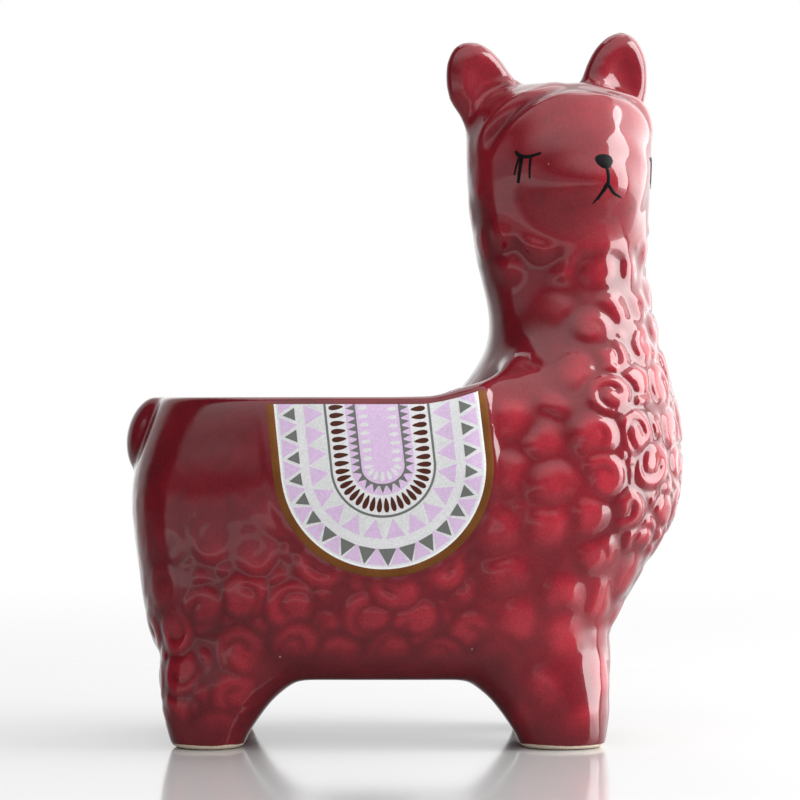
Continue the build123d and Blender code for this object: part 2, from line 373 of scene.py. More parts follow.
def fired_surface_group():
    """Unevenness of anything fired: broad mottling, fine grain, pinholes and a wavy skin."""
    name = "FiredSurface"
    if name in bpy.data.node_groups:
        return bpy.data.node_groups[name]
    tree = bpy.data.node_groups.new(name, "ShaderNodeTree")
    sockets = tree.interface
    sockets.new_socket("Vector", in_out="INPUT", socket_type="NodeSocketVector")
    for label, default in (("Mottle Scale", 90.0), ("Grain Scale", 2600.0), ("Pinhole Scale", 420.0)):
        socket = sockets.new_socket(label, in_out="INPUT", socket_type="NodeSocketFloat")
        socket.default_value = default
    for label in ("Mottle", "Grain", "Pinholes", "Skin"):
        sockets.new_socket(label, in_out="OUTPUT", socket_type="NodeSocketFloat")
    nodes = Nodes(tree)
    inlet = nodes.add("NodeGroupInput").outputs
    broad = {"Vector": inlet["Vector"], "Scale": inlet["Mottle Scale"], "Detail": 6.0, "Roughness": 0.62}
    mottle = nodes.add("ShaderNodeTexNoise", broad).outputs["Fac"]
    fine = {"Vector": inlet["Vector"], "Scale": inlet["Grain Scale"], "Detail": 2.0}
    grain = nodes.add("ShaderNodeTexNoise", fine).outputs["Fac"]
    spots = {"Vector": inlet["Vector"], "Scale": inlet["Pinhole Scale"]}
    cells = nodes.add("ShaderNodeTexVoronoi", spots)
    chance = nodes.add("ShaderNodeSeparateColor", {"Color": cells.outputs["Color"]}).outputs["Red"]
    rare = nodes.math("GREATER_THAN", chance, 0.988)
    dot = nodes.fade(cells.outputs["Distance"], 0.13, 0.04)
    skin_scale = nodes.math("MULTIPLY", inlet["Mottle Scale"], 1.7)
    wavy = {"Vector": inlet["Vector"], "Scale": skin_scale, "Detail": 1.0}
    skin = nodes.add("ShaderNodeTexNoise", wavy).outputs["Fac"]
    pinholes = nodes.math("MULTIPLY", rare, dot)
    nodes.add("NodeGroupOutput", {"Mottle": mottle, "Grain": grain, "Pinholes": pinholes, "Skin": skin})
    return tree


def new_material(name):
    material = bpy.data.materials.new(name)
    material.use_nodes = True
    material.node_tree.nodes.clear()
    return material, Nodes(material.node_tree)


def fired(nodes, **scales):
    """The shared unevenness, on the object's own coordinates."""
    coordinates = nodes.add("ShaderNodeTexCoord").outputs["Object"]
    group = nodes.add("ShaderNodeGroup", node_tree=fired_surface_group())
    nodes.tree.links.new(coordinates, group.inputs["Vector"])
    for label, value in scales.items():
        group.inputs[label.replace("_", " ").title()].default_value = value
    return coordinates, group.outputs


def closed(nodes, shader):
    nodes.add("ShaderNodeOutputMaterial", {"Surface": shader.outputs[0]})


def glaze_material():
    """Crimson glaze: dark where it lies deep, lighter where it is thin, wiped off under the feet."""
    colours = settings().glaze
    material, nodes = new_material("crimson_glaze")
    coordinates, unevenness = fired(nodes)
    # The wool attribute holds the glaze depth, partly painted shade on the neck and towards the rear.
    wool = nodes.add("ShaderNodeAttribute", attribute_name="wool").outputs["Fac"]
    depth_and_shade = nodes.add("ShaderNodeValToRGB", {"Fac": wool})
    stops = depth_and_shade.color_ramp.elements
    stops[0].position, stops[0].color = 0.05, rgba(colours.pooled)
    stops[1].position, stops[1].color = 0.95, rgba(colours.thin)
    middle = stops.new(0.5)
    middle.color = rgba(colours.body)
    shade = nodes.fade(unevenness["Mottle"], 0.25, 0.75)
    uneven = nodes.mix(shade, (0.76, 0.72, 0.74, 1.0), (1.18, 1.14, 1.12, 1.0))
    hue = nodes.mix(1.0, depth_and_shade.outputs["Color"], uneven, "MULTIPLY")
    grain = nodes.fade(unevenness["Grain"], 0.3, 0.7)
    fine = nodes.mix(grain, (0.86, 0.84, 0.84, 1.0), (1.12, 1.14, 1.14, 1.0))
    hue = nodes.mix(1.0, hue, fine, "MULTIPLY")
    speck = nodes.math("MULTIPLY", unevenness["Pinholes"], 0.4)
    hue = nodes.mix(speck, hue, rgba(colours.clay))
    height = nodes.add("ShaderNodeSeparateXYZ", {"Vector": coordinates}).outputs["Z"]
    ragged = nodes.math("MULTIPLY_ADD", unevenness["Mottle"], -1.1 * MM, height)
    bare = nodes.fade(ragged, 0.55 * MM, 0.35 * MM)
    clay = nodes.mix(grain, scaled(colours.clay, 0.82), rgba(colours.clay))
    hue = nodes.mix(bare, hue, clay)
    gloss = nodes.math("MULTIPLY_ADD", unevenness["Mottle"], 0.06, 0.20)
    rough = nodes.math("MULTIPLY_ADD", bare, 0.6, gloss)
    coat = nodes.math("SUBTRACT", 1.0, bare)
    bump = nodes.bump(unevenness["Skin"], 0.35, 0.45)
    shader = nodes.add("ShaderNodeBsdfPrincipled", {
        "Base Color": hue, "Roughness": rough, "Coat Weight": coat, "Normal": bump,
    })
    shader.inputs["Coat Roughness"].default_value = 0.05
    shader.inputs["Coat IOR"].default_value = 1.5
    shader.inputs["Specular IOR Level"].default_value = 0.1
    closed(nodes, shader)
    return material


def finished(material, nodes, hue, rough, grain, bump):
    """Closes a material; bump says how far its grain rises, in millimetres, and how strongly."""
    shader = nodes.add("ShaderNodeBsdfPrincipled", {
        "Base Color": hue, "Roughness": rough, "Normal": nodes.bump(grain, *bump),
    })
    closed(nodes, shader)
    return material, shader.inputs


def ink_material(name, value):
    """Overglaze transfer ink: a fine printed grain under a satin gloss."""
    material, nodes = new_material(name)
    _, unevenness = fired(nodes)
    hue = nodes.mix(nodes.fade(unevenness["Grain"], 0.3, 0.7), scaled(value, 0.90), scaled(value, 1.05))
    worn = nodes.mix(nodes.fade(unevenness["Mottle"], 0.2, 0.8), neutral(0.95), neutral(1.0))
    hue = nodes.mix(1.0, hue, worn, "MULTIPLY")
    rough = nodes.math("MULTIPLY_ADD", unevenness["Grain"], 0.15, 0.28)
    material, shader = finished(material, nodes, hue, rough, unevenness["Grain"], (0.02, 0.3))
    shader["Specular IOR Level"].default_value = 0.35
    return material


def gold_material():
    """Fired gold lustre, brushed on thin, so the red under it shows through as brown."""
    gold = settings().glaze.gold
    material, nodes = new_material("gold_lustre")
    _, unevenness = fired(nodes, mottle_scale=160.0)
    brown = rgba([part * factor for part, factor in zip(gold, (0.78, 0.70, 0.60))])
    hue = nodes.mix(nodes.fade(unevenness["Mottle"], 0.3, 0.7), brown, rgba(gold))
    rough = nodes.math("MULTIPLY_ADD", unevenness["Grain"], 0.2, 0.24)
    material, shader = finished(material, nodes, hue, rough, unevenness["Grain"], (0.03, 0.4))
    shader["Metallic"].default_value = 0.5
    return material


def enamel_material():
    """Black enamel, brushed on, a little thinner in streaks."""
    enamel = settings().glaze.enamel
    material, nodes = new_material("black_enamel")
    _, unevenness = fired(nodes, mottle_scale=700.0)
    hue = nodes.mix(nodes.fade(unevenness["Mottle"], 0.35, 0.8), rgba(enamel), scaled(enamel, 2.2))
    rough = nodes.math("MULTIPLY_ADD", unevenness["Mottle"], 0.2, 0.35)
    material, shader = finished(material, nodes, hue, rough, unevenness["Grain"], (0.02, 0.3))
    shader["Specular IOR Level"].default_value = 0.08
    return material


def rubber_material():
    """Soft moulded rubber with a bloom of dust."""
    rubber = settings().glaze.rubber
    material, nodes = new_material("plug_rubber")
    _, unevenness = fired(nodes, mottle_scale=240.0)
    hue = nodes.mix(nodes.fade(unevenness["Mottle"], 0.3, 0.7), scaled(rubber, 0.86), rgba(rubber))
    rough = nodes.math("MULTIPLY_ADD", unevenness["Grain"], 0.2, 0.5)
    return finished(material, nodes, hue, rough, unevenness["Grain"], (0.05, 0.4))[0]


# The blanket's layout, shared by the smooth panel on the body and by the print

def blanket_radius():
    return settings().blanket.width / 2


def blanket_middle():
    """Centre of the blanket's round end, in side view."""
    blanket = settings().blanket
    return blanket.center, blanket.bottom + blanket.width / 2


def blanket_inset(x, z):
    """How far points of the side view lie inside the blanket's outline; negative outside."""
    across, up = blanket_middle()
    tilt = settings().blanket.tilt
    a = (x - across) * math.cos(tilt) + (z - up) * math.sin(tilt)
    b = (z - up) * math.cos(tilt) - (x - across) * math.sin(tilt)
    return blanket_radius() - np.where(b < 0, np.hypot(a, b), np.abs(a))


def blanket_top(x):
    """The blanket's top edge, level and then rising towards the neck."""
    blanket = settings().blanket
    along = np.clip((x - blanket.climb_start) / blanket.climb_length, 0, 1)
    return blanket.top + blanket.climb * along ** 1.6


def turned(a, b):
    """A point of the blanket's own upright layout, in side view."""
    across, up = blanket_middle()
    tilt = settings().blanket.tilt
    return across + a * math.cos(tilt) - b * math.sin(tilt), up + a * math.sin(tilt) + b * math.cos(tilt)


def side_height(a):
    """How high above the round end the line at a runs before the top edge cuts it."""
    b = 0.0
    for _ in range(12):
        x, z = turned(a, b)
        b += float(blanket_top(x)) - z
    return b


STRAIGHT_STEPS = 12
ARC_STEPS = 64


def blanket_line(inset):
    """The U at some inset, down from the top edge by the tail and round up to the one by the neck."""
    radius = blanket_radius() - inset
    drop = max(0.0, radius - settings().blanket.lift * (inset / blanket_radius()) ** 2)
    left, right = side_height(-radius), side_height(radius)
    shares = np.linspace(0, 1, STRAIGHT_STEPS + 1)
    turns = np.linspace(-math.pi / 2, math.pi / 2, ARC_STEPS + 1)[1:-1]
    points = [turned(-radius, left * (1 - s)) for s in shares]
    points += [turned(radius * math.sin(t), -drop * math.cos(t)) for t in turns]
    points += [turned(radius, right * s) for s in shares]
    return np.array(points)


# The cast body

HEAD_NODES = ("neck_and_head", "ear_right", "ear_left")
TRUNK_NODES = ("pot_body", "tail")
NECK_AXIS = 34.2 * MM
SEAM_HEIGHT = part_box("neck_and_head")[0].z
FACE_TURN = math.radians(-68.0)
FACE_HEIGHT = 120.5 * MM
FACE_HALF_HEIGHT = 21.5 * MM
FACE_HALF_DEPTH = 13.0 * MM
FACE_HALF_TURN = math.radians(76.0)
NECK_RADIUS = 17.0 * MM
MUZZLE_TURN = math.radians(-3.0)
MUZZLE_ARC = 20.5 * MM
MUZZLE_HEIGHT = 115.5 * MM
MUZZLE_HALF_WIDTH = 14.0 * MM
MUZZLE_HALF_HEIGHT = 9.5 * MM
LIP_HEIGHT = 75.0 * MM
LIP_CLIMB = 13.0 * MM
FLANK = 20.0 * MM
EAR_REACH = 4.0 * MM
EAR_SKIN = 1.5 * MM


def solids_skin():
    """The pot's solids grown together into one even skin."""
    shell = bmesh.new()
    for node in TRUNK_NODES + HEAD_NODES:
        shell.from_mesh(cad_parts[node].data)
    bmesh.ops.remove_doubles(shell, verts=shell.verts, dist=WELD)
    mesh = bpy.data.meshes.new("cast")
    shell.to_mesh(mesh)
    shell.free()
    piece = linked("cast", mesh)
    remesh = piece.modifiers.new("skin", "REMESH")
    remesh.mode = "VOXEL"
    remesh.voxel_size = settings().wool.mesh_size
    skin = evaluated_mesh(piece, "skin")
    bpy.data.objects.remove(piece)
    bpy.data.meshes.remove(mesh)
    return skin


def cast_mesh():
    """The skin relaxed as clay is: joins filled, face smooth, ears full, the lip drawn into the neck."""
    wool = settings().wool
    skin = solids_skin()
    edges = read_edges(skin)
    points = relaxed(read_vectors(skin.vertices, "co"), edges, 8)
    normals = placed(skin, points)
    hollow = relaxed(((neighbour_mean(points, edges) - points) * normals).sum(1), edges, 6)
    crease = smoothstep(0.05, 0.5, relaxed(zone(hollow, 0.010, 0.035), edges, 30))
    points = relaxed(points, edges, wool.crease_rounds, 0.5 * crease)
    points = relaxed(points, edges, 6)
    _, oval = face_place(points)
    face = relaxed(smoothstep(1.0, 0.75, oval) * outside_neck(points), edges, 10)
    points = relaxed(points, edges, wool.face_rounds, 0.5 * face)
    ears = relaxed(zone(points[:, 2], 136, 141) * (ear_gap(points) < EAR_SKIN), edges, 8)
    normals = placed(skin, points)
    level = relaxed(points, edges, 8 * wool.ear_rounds, 0.5 * ears)
    hollow = np.maximum(((level - points) * normals).sum(1), 0.0)
    points = points + normals * (wool.ear_fill * hollow * ears)[:, None]
    points = relaxed(points, edges, wool.ear_rounds, 0.5 * ears)
    x, y, z = points.T
    crown = zone(z, 131, 137) * (1 - ears)
    points = relaxed(points, edges, wool.crease_rounds // 2, 0.5 * crown)
    saddle = zone(x, 0, 7) * zone(x, 40, 30)
    saddle *= zone(z, 72, 78) * zone(z, 104, 96)
    beside = np.maximum(-blanket_inset(x, z), z - blanket_top(x))
    saddle *= np.where(np.abs(y) > 16 * MM, zone(beside, 0.5, 4.5), 1.0)
    points = relaxed(points, edges, 2 * wool.crease_rounds, 0.5 * relaxed(saddle, edges, 8))
    arch = zone(z, 8, 11) * zone(z, 25, 20) * (np.abs(y) > 13 * MM)
    points = relaxed(points, edges, wool.crease_rounds // 2, 0.5 * relaxed(arch, edges, 4))
    normals = placed(skin, points)
    placed(skin, points + normals * (wool.ear_swell * ears)[:, None])
    return skin


def outside_neck(points):
    """Which points lie further from the neck's axis than the hollow neck does."""
    return np.hypot(points[:, 0] - NECK_AXIS, points[:, 1]) > NECK_RADIUS


def ear_gap(points):
    """How far points lie from the ears' solids, as far as is of use."""
    ears = surface_tree(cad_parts["ear_right"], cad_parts["ear_left"])
    gap = np.full(len(points), EAR_REACH)
    for i in np.flatnonzero(points[:, 2] > 128 * MM):
        distance = ears.find_nearest(Vector(points[i]), EAR_REACH)[3]
        gap[i] = EAR_REACH if distance is None else distance
    return gap


def nearest_on(points, start, end):
    """For each point the nearest one on a straight line, whose ends are in millimetres."""
    start, end = np.array(start) * MM, np.array(end) * MM
    along = end - start
    t = np.clip((points - start) @ along / (along @ along), 0, 1)
    return start + t[:, None] * along


def inside_of_pot(points, normals):
    """Which points lie on the walls of the well and of the hollow neck."""
    trunk = nearest_on(points, (-40, 0, 47), (38, 0, 47)) - points
    neck = nearest_on(points, (36, 0, 47), (34, 0, 128)) - points
    near_trunk = (trunk ** 2).sum(1) < (neck ** 2).sum(1)
    towards = np.where(near_trunk[:, None], trunk, neck)
    inside = (towards * normals).sum(1) > 0
    inside &= (points[:, 2] > 19 * MM) & (points[:, 2] < 141 * MM)
    return inside & (ear_gap(points) > EAR_SKIN)


def face_place(points):
    """Turn about the neck's axis from the middle of the face, and the face's oval, 1 on its rim."""
    turn = np.arctan2(points[:, 1], points[:, 0] - NECK_AXIS) - FACE_TURN
    turn = (turn + math.pi) % (2 * math.pi) - math.pi
    up = points[:, 2] - FACE_HEIGHT
    oval = (turn / FACE_HALF_TURN) ** 2 + (up / np.where(up > 0, FACE_HALF_HEIGHT, FACE_HALF_DEPTH)) ** 2
    return turn, np.where(points[:, 2] > 95 * MM, oval, 9.0)


def wool_place(points, normals, inside):
    """Where wool is moulded, from 0 to 1, and how far it stands out."""
    wool = settings().wool
    x, y, z = points.T
    _, oval = face_place(points)
    cover = np.where(inside, 0.0, 1.0)
    print_gap = -blanket_inset(x, z)
    cover *= np.where(np.abs(y) > FLANK, zone(print_gap, 0.4, 2.6), 1.0)
    lip = LIP_HEIGHT + LIP_CLIMB * zone(x, -6, 24)
    well = zone(x, 24, 14) * zone(z, 98, 92)
    cover *= 1 - well * (1 - zone(lip - z, 2.0, 7.0))
    nape = zone(x, 38, 29) * zone(z, 72, 78) * zone(z, 106, 96)
    cover *= 1 - 0.8 * nape
    cover *= np.where(z < FACE_HEIGHT, smoothstep(1.02, 1.35, oval), smoothstep(1.25, 1.7, oval))
    cover *= zone(z, 136, 126)
    between_legs = zone(x, -35, -29) * zone(x, 27, 21)
    cover *= 1 - between_legs * zone(z, 23, 18)
    cover *= zone(z, 3.0, 9.0)
    cover *= smoothstep(-0.75, -0.35, normals[:, 2])
    rump = zone(x, -22, -31) * zone(z, 36, 48)
    rear = zone(x, -40, -49) * zone(z, 22, 36)
    cover *= 1 - 0.72 * np.maximum(rump, rear) - 0.18 * zone(z, 52, 62) * rump
    tuft = zone(x, 12, 24) * zone(z, 20, 40)
    front = zone(x, 36, 43) * zone(z, 34, 44) * zone(x, 54, 47)
    relief = wool.flank_relief + (wool.tuft_relief - wool.flank_relief) * tuft
    relief += (wool.chest_relief - wool.tuft_relief) * front
    back = zone(x, 26, 16) * zone(z, 84, 96)
    leg = zone(z, 26, 10)
    return cover, relief * (1 - 0.45 * back) * (1 - 0.4 * leg)


def scattered(points, spacing, taken, draw):
    """Vertices drawn at random, none nearer to another, or to those taken, than its spacing."""
    chosen = []
    held = [tuple(p) for p in taken]
    for i in draw:
        p = points[i]
        if held:
            gap = np.array(held) - p
            if (gap ** 2).sum(1).min() < spacing[i] ** 2:
                continue
        held.append(tuple(p))
        chosen.append(i)
    return chosen


CURL_STEPS = 40
CURL_DRAWS = 26000
SMALL_CURL, BIG_CURL = 0.32, 0.53
SMALL_SPACING = 0.68
SMALL_HEIGHT = 0.85
CURL_LEVEL = 0.35


def groove_gap(u, v, random):
    """Distance from the groove that winds into a curl of radius 1, from its rim towards its middle."""
    hand = random.choice((-1.0, 1.0))
    start = random.uniform(0, 2 * math.pi)
    turns = random.uniform(0.55, 1.0)
    t = np.linspace(0, 1, CURL_STEPS)
    angle = start + hand * 2 * math.pi * turns * t
    radius = 0.30 + 0.75 * (1 - t) ** 2.2
    return np.hypot(u[:, None] - radius * np.cos(angle), v[:, None] - radius * np.sin(angle)).min(1)


def curl_sizes(points):
    """The size of a curl at each point, and how soft it is: 0 for a wound curl, 1 for a plain tuft."""
    wool = settings().wool
    x, _, z = points.T
    neck = zone(z, 84, 92)
    front = zone(x, 37, 44) * zone(z, 38, 46)
    tuft = zone(x, 12, 20) * (1 - front)
    size = wool.curl_size + (wool.tuft_size - wool.curl_size) * tuft - 0.15 * wool.curl_size * neck
    return size, np.maximum(tuft, 0.8 * neck)


def wool_relief(points, normals, edges, cover, random):
    """The curls' height from 0 to 1: round pillows lying over each other, each wound in by its groove."""
    wool = settings().wool
    sizes, soft = curl_sizes(points)
    valley = wool.valley + (wool.tuft_valley - wool.valley) * soft
    draw = random.permutation(np.flatnonzero(cover > 0.05))[:CURL_DRAWS]
    spacing = sizes * wool.curl_spacing
    curls = scattered(points, spacing, [], draw)
    small = scattered(points, spacing * SMALL_SPACING, points[curls], draw[::-1])
    height = np.zeros(len(points))
    for i, scale in [(i, SMALL_CURL) for i in small] + [(i, BIG_CURL) for i in curls]:
        reach = sizes[i] * scale
        offset = points - points[i]
        near = np.flatnonzero(np.abs(offset).max(1) < 1.5 * reach)
        near = near[normals[near] @ normals[i] > 0.2]
        first = np.cross(normals[i], random.normal(size=3))
        first /= np.linalg.norm(first)
        second = np.cross(normals[i], first)
        stretch = random.uniform(1.0, 1.16)
        u, v = offset[near] @ first / reach / stretch, offset[near] @ second / reach * stretch
        inside = reach * (1 - np.hypot(u, v))
        cut = np.exp(-(groove_gap(u, v, random) * reach / wool.groove) ** 2)
        top = (1 - (0.9 - 0.7 * soft[i]) * cut) * (SMALL_HEIGHT if scale == SMALL_CURL else 1.0)
        over = top * smoothstep(-0.1 * MM, valley[i], inside)
        under = height[near] * smoothstep(0, 0.7 * valley[i], -inside)
        height[near] = np.where(inside > 0, over, under)
    rump = zone(points[:, 0], -18, -30) * zone(points[:, 2], 36, 46)
    return relaxed(relaxed(height, edges, 2), edges, 6, 0.5 * np.maximum(0.4 * soft, rump))


def muzzle_swell(points):
    """How far the muzzle stands out, from 0 to 1: a flat-topped swelling round the nose and mouth."""
    turn, _ = face_place(points)
    across = (turn - MUZZLE_TURN) * MUZZLE_ARC / MUZZLE_HALF_WIDTH
    up = (points[:, 2] - MUZZLE_HEIGHT) / MUZZLE_HALF_HEIGHT
    return smoothstep(1.3, 0.4, np.hypot(across, up)) * outside_neck(points)


def ridge(value, middle, width):
    return np.exp(-((value - middle) / width) ** 2)


def hairline(points, normals):
    """The rise of the wool round the face with a fold under the chin, and the hairline's groove."""
    turn, oval = face_place(points)
    rim = np.sqrt(oval) + 0.015 * np.sin(turn * 5.0 + 0.6)
    above = zone(points[:, 2], 126, 134)
    flat = smoothstep(0.70, 0.95, normals[:, 2])
    roll = ridge(rim, 1.17, 0.07) * (1 - 0.8 * flat)
    groove = ridge(rim, 1.04, 0.05) * above
    below = zone(points[:, 2], 116, 108)
    chin = ridge(rim, 1.12, 0.14)
    rise = above * (0.7 * roll - 0.3 * flat) - 0.8 * groove + below * chin * 0.4
    return rise * MM, groove


def panel_rise(points):
    """How far the smooth panel under a blanket stands out, with a bolder step towards the neck."""
    wool = settings().wool
    x, _, z = points.T
    inset = blanket_inset(x, z)
    rise = wool.panel_relief * zone(inset, -2.6, -0.9) * zone(z, 73, 64)
    shoulder = zone(x, 6, 15) * zone(z, 50, 60) * zone(z, 79, 75)
    return rise + wool.panel_step * shoulder * zone(inset, -1.4, 0.1)


def moulded_mesh():
    """The whole cast body with its wool, its glaze depth with painted shade, and its shading stored on
    it.
    """
    wool = settings().wool
    random = np.random.default_rng(wool.seed)
    skin = cast_mesh()
    edges = read_edges(skin)
    points = read_vectors(skin.vertices, "co")
    normals = read_vectors(skin.vertex_normals, "vector")
    inside = inside_of_pot(points, normals)
    cover, relief = wool_place(points, normals, inside)
    cover = relaxed(cover, edges, 3)
    height = wool_relief(points, normals, edges, cover, random)
    panel = np.where(inside | (np.abs(points[:, 1]) < FLANK), 0.0, panel_rise(points))
    rise = relief * cover * (height - CURL_LEVEL) + panel
    combed, groove = hairline(points, normals)
    plain = inside | (ear_gap(points) < 0.6 * MM)
    combed += wool.muzzle * muzzle_swell(points)
    rise = relaxed(rise + np.where(plain, 0.0, combed), edges, 1)
    points = points + normals * rise[:, None]
    points[:, 2] = np.maximum(points[:, 2], 0.0)
    normals = placed(skin, points)
    # Glaze depth for the colour ramp, with painted shade on the neck's wool and towards the rear.
    thin = glaze_depth_and_shade(points, cover, height, np.where(plain, 0.0, groove))
    store(skin, "wool", relaxed(thin, edges, 1))
    shading = skin.attributes.new("skin_normal", "FLOAT_VECTOR", "POINT")
    shading.data.foreach_set("vector", normals.astype(np.float32).ravel())
    return thinned(skin, inside)


def glaze_depth_and_shade(points, cover, height, groove):
    """How thin the glaze lies, from 0 where it pools to 1 where it has run off; partly painted shade."""
    x, _, z = points.T
    # Plain glaze: darker below the neck, lighter on the head, a little darker on the ears and in the
    # hairline's groove.
    bare = 0.16 + 0.34 * zone(z, 84, 108) - 0.12 * zone(z, 138, 142) - 0.4 * groove
    soft = curl_sizes(points)[1]
    wool = (0.08 + 0.22 * soft) + (0.64 - 0.17 * soft) * height
    # Painted shade: the wool is darker on the neck, under the head, and towards the rear.
    wool -= 0.15 * zone(z, 84, 94) + 0.08 * zone(x, -20, -46)
    return cover * wool + (1 - cover) * bare


WELL_THINNING = 0.92


def thinned(skin, inside):
    """The body with few faces inside, where it is plain, and fewer on its smooth parts."""
    piece = linked("moulded", skin)
    group = piece.vertex_groups.new(name="well")
    group.add(np.flatnonzero(inside).tolist(), 1.0, "REPLACE")
    well = piece.modifiers.new("well", "DECIMATE")
    well.vertex_group = group.name
    well.ratio = 1.0 - WELL_THINNING * inside.mean()
    piece.modifiers.new("spare", "DECIMATE").ratio = settings().wool.kept_faces
    mesh = evaluated_mesh(piece, "moulded")
    bpy.data.objects.remove(piece)
    mesh.shade_smooth()
    return mesh


def cut_at_seam(mesh, name, keep_above):
    """The body above or below the luted seam, closed there, its shading unbroken across it."""
    shell = bmesh.new()
    shell.from_mesh(mesh)
    geometry = shell.verts[:] + shell.edges[:] + shell.faces[:]
    way = -1.0 if keep_above else 1.0
    cut = bmesh.ops.bisect_plane(
        shell, geom=geometry, plane_co=(0, 0, SEAM_HEIGHT), plane_no=(0, 0, way), clear_outer=True,
        dist=0.01 * MM)
    rim = [e for e in cut["geom_cut"] if isinstance(e, bmesh.types.BMEdge)]
    bmesh.ops.triangle_fill(shell, edges=rim, use_beauty=True, use_dissolve=False, normal=(0, 0, way))
    half = bpy.data.meshes.new(name)
    shell.to_mesh(half)
    shell.free()
    half.materials.append(mesh.materials[0])
    half.shade_smooth()
    normals = read_vectors(half.attributes["skin_normal"].data, "vector")
    normals /= np.maximum(np.linalg.norm(normals, axis=1), 1e-6)[:, None]
    half.normals_split_custom_set_from_vertices(normals)
    half.attributes.remove(half.attributes["skin_normal"])
    return linked(name, half)


class PLANTER_OT_body(bpy.types.Operator):
    """Cast body of the llama with curled wool under a crimson glaze"""

    bl_idname = "planter.body"
    bl_label = "Body and head"

    def execute(self, context):
        mesh = moulded_mesh()
        glaze = glaze_material()
        mesh.materials.clear()
        mesh.materials.append(glaze)
        trunk = cut_at_seam(mesh, "woolly_body", False)
        head = cut_at_seam(mesh, "woolly_head", True)
        bpy.data.meshes.remove(mesh)
        for piece, nodes in ((trunk, TRUNK_NODES), (head, HEAD_NODES)):
            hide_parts(*nodes)
            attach(piece, "pot")
        return {"FINISHED"}


# The printed blanket

FILM = 0.16 * MM
RAY_START = 100 * MM
INWARD, OUTWARD = 1.0, -1.0


def laid(points, lift, side, surface):
    """Points of the side view, laid on the flank of that side, lift above the glaze."""
    result = []
    for (x, z), rise in zip(points, np.broadcast_to(lift, len(points))):
        hit, normal, _, _ = surface.ray_cast(Vector((x, side * RAY_START, z)), Vector((0, -side, 0)))
        if hit is None:
            raise RuntimeError(f"the blanket leaves the flank at {x:.4f}, {z:.4f}")
        result.append(hit + normal * rise)
    return result


def outwards(faces, side):
    """Faces of the side view, turned so that they look away from that flank."""
    return [f if side < 0 else f[::-1] for f in faces]


def band(first, last, steps):
    """A band of the blanket between two insets, as points and faces of the side view."""
    lines = [blanket_line(inset) for inset in np.linspace(first, last, steps + 1)]
    return np.concatenate(lines), grid_faces(steps + 1, len(lines[0]))


def triangle_motif():
    """A pointed tooth, 1 wide and 1 high, with its foot on the line."""
    steps = 4
    shares = [i / steps for i in range(steps + 1)]
    points = [((across - 0.5) * (1 - up), up) for up in shares[:-1] for across in shares]
    points.append((0.0, 1.0))
    faces = grid_faces(steps, steps + 1)
    top = steps * (steps + 1)
    faces += [[top - steps - 1 + i, top - steps + i, top] for i in range(steps)]
    return points, faces


def drop_motif(point):
    """A drop, 1 wide and 1 high, round at its foot and drawn out to its tip by point."""
    steps = 20
    ring = []
    for i in range(steps):
        t = 2 * math.pi * i / steps
        up = 0.5 - 0.5 * math.cos(t)
        ring.append((0.5 * math.sin(t) * (1 - point * up), up))
    points = ring + [(0.0, 0.45)]
    return points, [[i, (i + 1) % steps, steps] for i in range(steps)]


def motif_object(name, shape):
    points, faces = shape
    return mesh_object(name, [(x, y, 0.0) for x, y in points], faces, [])


